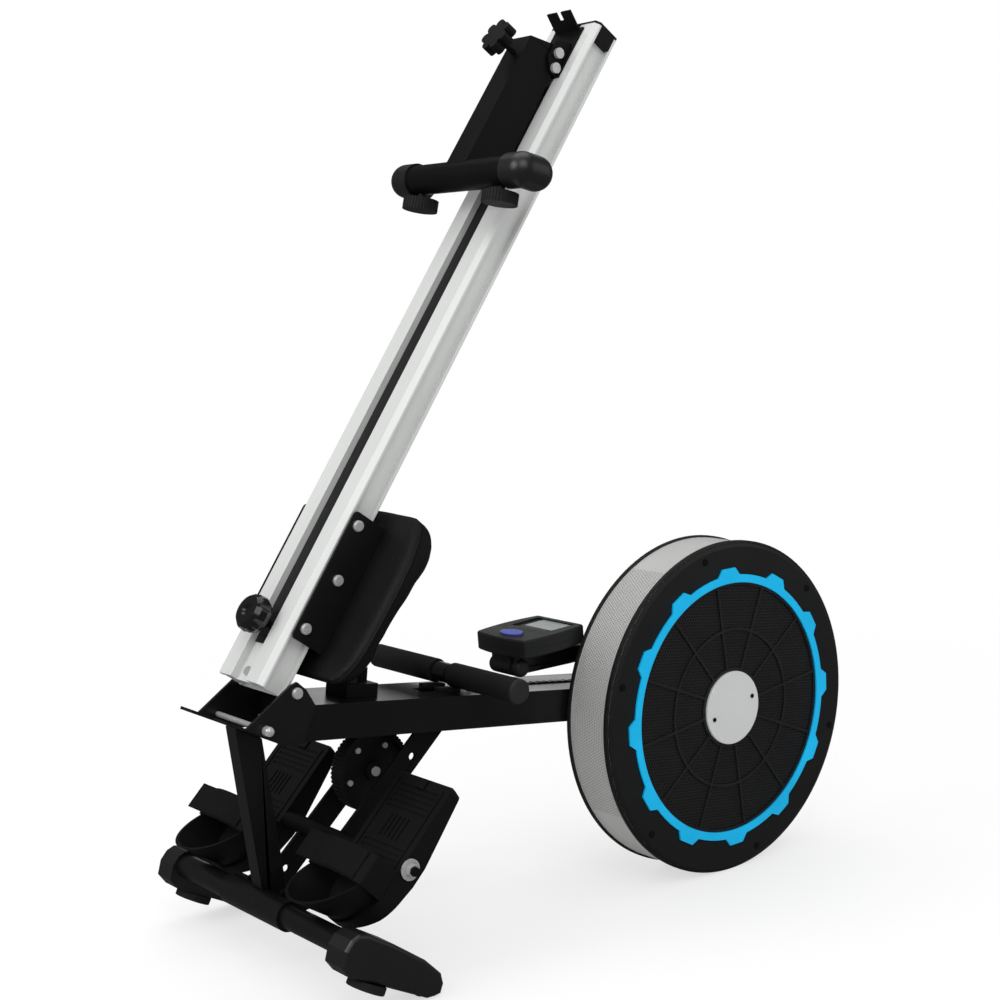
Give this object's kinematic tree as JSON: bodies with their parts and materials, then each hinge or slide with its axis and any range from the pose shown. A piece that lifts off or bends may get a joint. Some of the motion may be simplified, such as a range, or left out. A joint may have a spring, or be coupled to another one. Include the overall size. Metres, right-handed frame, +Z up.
{
  "type": "rowing machine",
  "caption": "Folding air rowing machine stored with its seat rail up: fan housing, padded seat on a rail, strapped pedals, pull handle with chain, console and folding rear leg.",
  "frame": {"origin": "centre of the footprint box at floor level, in the stored position", "axes": "+X along the machine from the hinge toward the fan, +Y away from the side that carries the fan housing, +Z up"},
  "size_m": [1.0552, 0.478, 1.2656],
  "materials": {
    "black_paint": "semi-gloss black powder coat",
    "black_plastic": "matte moulded black",
    "dark_plastic": "dark grey satin",
    "gloss_black": "glossy black",
    "chrome": "bright plated",
    "steel": "plain steel",
    "aluminium": "satin anodised",
    "grey_paint": "light grey, perforated",
    "grille": "dark mesh",
    "blue": "bright blue",
    "button_blue": "glossy blue-violet",
    "lens": "grey display behind a clear sheet",
    "rubber": "black rubber",
    "foam": "matte foam",
    "grey_plastic": "grey",
    "vinyl": "black grained vinyl",
    "webbing": "black woven strap"
  },
  "bodies": {
    "frame": {"main_beam": "black_paint", "hinge_housing": "black_paint", "pivot_bolt": "chrome", "front_strut": "black_paint", "front_stabiliser": "black_paint", "stabiliser_boots": "black_plastic", "pedal_bars": "black_paint", "pedal_axle": "steel", "axle_nuts": "chrome", "buffer_block": "black_plastic", "rubber_pads": "rubber", "fan_cover_near": "black_plastic", "fan_cover_far": "black_plastic", "cover_screws": "chrome", "fan_band": "grey_paint", "fan_ring": "blue", "fan_grille": "grille", "hub_cap": "aluminium", "axle_bearings": "steel", "console_arm": "black_paint"},
    "lock_pin": {"lock_pin": "chrome"},
    "transport_wheel_near": {"transport_wheel_near": "dark_plastic"},
    "transport_wheel_far": {"transport_wheel_far": "dark_plastic"},
    "front_foot_near": {"front_foot_near": "rubber"},
    "front_foot_far": {"front_foot_far": "rubber"},
    "pedal_near": {"pedal_near": "black_plastic", "strap_near": "webbing"},
    "pedal_far": {"pedal_far": "black_plastic", "strap_far": "webbing"},
    "return_pulley": {"return_pulley": "black_plastic"},
    "block_knob": {"block_knob": "black_plastic"},
    "sprocket": {"sprocket": "steel"},
    "handle": {"handle_bar": "steel", "handle_grips": "foam", "grip_caps": "grey_plastic", "drive_chain": "steel"},
    "fan": {"fan_wheel": "black_plastic", "fan_axle": "steel"},
    "console": {"console_base": "dark_plastic", "console_top": "dark_plastic", "console_lens": "lens"},
    "mode_button": {"mode_button": "button_blue"},
    "rail": {"seat_rail": "aluminium", "rail_liner": "dark_plastic", "rail_end_plug": "black_plastic", "rail_hinge_lug": "black_paint", "leg_bracket": "black_paint", "rail_bolts": "chrome"},
    "rail_knob": {"rail_knob": "gloss_black"},
    "rear_leg": {"rear_leg": "black_paint", "rear_boots": "black_plastic"},
    "star_knob": {"star_knob": "black_plastic"},
    "rear_foot_near": {"rear_foot_near": "rubber"},
    "rear_foot_far": {"rear_foot_far": "rubber"},
    "seat": {"seat_carriage": "black_paint", "seat_bolts": "chrome", "seat_cushion": "vinyl"},
    "rollers_lower": {"rollers_lower": "dark_plastic"},
    "rollers_middle": {"rollers_middle": "dark_plastic"},
    "rollers_upper": {"rollers_upper": "dark_plastic"}
  },
  "joints": [
    {"name": "rail_fold", "type": "hinge", "parent": "frame", "child": "rail", "pos_m": [-0.42517, 0, 0.37143], "axis": [0, -1, 0], "range_deg": [0, 97.8]},
    {"name": "seat_slide", "type": "slide", "parent": "rail", "child": "seat", "axis": [0.5659, 0, 0.8245], "range_m": [0, 0.72]},
    {"name": "rollers_lower_spin", "type": "hinge", "parent": "seat", "child": "rollers_lower", "pos_m": [-0.40838, 0, 0.45208], "axis": [0, -1, 0], "continuous": true},
    {"name": "rollers_middle_spin", "type": "hinge", "parent": "seat", "child": "rollers_middle", "pos_m": [-0.35752, 0, 0.50814], "axis": [0, 1, 0], "continuous": true},
    {"name": "rollers_upper_spin", "type": "hinge", "parent": "seat", "child": "rollers_upper", "pos_m": [-0.32371, 0, 0.57542], "axis": [0, -1, 0], "continuous": true},
    {"name": "rear_leg_fold", "type": "hinge", "parent": "rail", "child": "rear_leg", "pos_m": [0.06319, 0, 1.20303], "axis": [0, 1, 0], "range_deg": [0, 112]},
    {"name": "star_knob_turn", "type": "hinge", "parent": "rear_leg", "child": "star_knob", "pos_m": [0.00272, 0, 1.2033], "axis": [-0.8245, 0, 0.5659], "continuous": true},
    {"name": "rail_knob_turn", "type": "hinge", "parent": "rail", "child": "rail_knob", "pos_m": [-0.42873, 0, 0.45635], "axis": [-0.8245, 0, 0.5659], "continuous": true},
    {"name": "rear_foot_near_turn", "type": "hinge", "parent": "rear_leg", "child": "rear_foot_near", "pos_m": [-0.09719, -0.089, 1.00387], "axis": [-0.2159, 0, -0.9764], "continuous": true},
    {"name": "rear_foot_far_turn", "type": "hinge", "parent": "rear_leg", "child": "rear_foot_far", "pos_m": [-0.09719, 0.089, 1.00387], "axis": [-0.2159, 0, -0.9764], "continuous": true},
    {"name": "lock_pin_pull", "type": "slide", "parent": "frame", "child": "lock_pin", "axis": [0, -1, 0], "range_m": [0, 0.14]},
    {"name": "pedal_near_tilt", "type": "hinge", "parent": "frame", "child": "pedal_near", "pos_m": [-0.35491, -0.14, 0.15846], "axis": [0, 1, 0], "range_deg": [0, 25]},
    {"name": "transport_wheel_near_spin", "type": "hinge", "parent": "frame", "child": "transport_wheel_near", "pos_m": [-0.35424, -0.214, 0.018], "axis": [0, 1, 0], "continuous": true},
    {"name": "front_foot_near_turn", "type": "hinge", "parent": "frame", "child": "front_foot_near", "pos_m": [-0.43291, -0.214, 0.03961], "axis": [0.4488, 0, 0.8936], "continuous": true},
    {"name": "pedal_far_tilt", "type": "hinge", "parent": "frame", "child": "pedal_far", "pos_m": [-0.35491, 0.14, 0.15846], "axis": [0, 1, 0], "range_deg": [0, 25]},
    {"name": "transport_wheel_far_spin", "type": "hinge", "parent": "frame", "child": "transport_wheel_far", "pos_m": [-0.35424, 0.214, 0.018], "axis": [0, 1, 0], "continuous": true},
    {"name": "front_foot_far_turn", "type": "hinge", "parent": "frame", "child": "front_foot_far", "pos_m": [-0.43291, 0.214, 0.03961], "axis": [0.4488, 0, 0.8936], "continuous": true},
    {"name": "return_pulley_spin", "type": "hinge", "parent": "frame", "child": "return_pulley", "pos_m": [-0.27408, 0, 0.23051], "axis": [0, 1, 0], "continuous": true},
    {"name": "block_knob_turn", "type": "hinge", "parent": "frame", "child": "block_knob", "pos_m": [-0.28805, 0.004, 0.35588], "axis": [0.1126, 0, 0.9936], "continuous": true},
    {"name": "fan_spin", "type": "hinge", "parent": "frame", "child": "fan", "pos_m": [0.27763, 0, 0.25], "axis": [0, -1, 0], "continuous": true},
    {"name": "handle_pull", "type": "slide", "parent": "frame", "child": "handle", "axis": [-0.9936, 0, 0.1126], "range_m": [0, 0.1], "deforming": ["drive_chain"]},
    {"name": "sprocket_turn", "type": "hinge", "parent": "frame", "child": "sprocket", "pos_m": [0.27763, 0, 0.25], "axis": [0, -1, 0], "continuous": true},
    {"name": "console_tilt", "type": "hinge", "parent": "frame", "child": "console", "pos_m": [-0.02653, 0, 0.33681], "axis": [0, -1, 0], "range_deg": [0, 40]},
    {"name": "mode_button_press", "type": "slide", "parent": "console", "child": "mode_button", "axis": [0.0703, 0, -0.9975], "range_m": [0, 0.0015], "stiffness_N_per_m": 400}
  ],
  "couplings": [
    {"joint": "rollers_lower_spin", "follows": "seat_slide", "rad_per_m": 111.11},
    {"joint": "rollers_middle_spin", "follows": "seat_slide", "rad_per_m": 111.11},
    {"joint": "rollers_upper_spin", "follows": "seat_slide", "rad_per_m": 111.11},
    {"joint": "sprocket_turn", "follows": "handle_pull", "rad_per_m": 44.367}
  ]
}
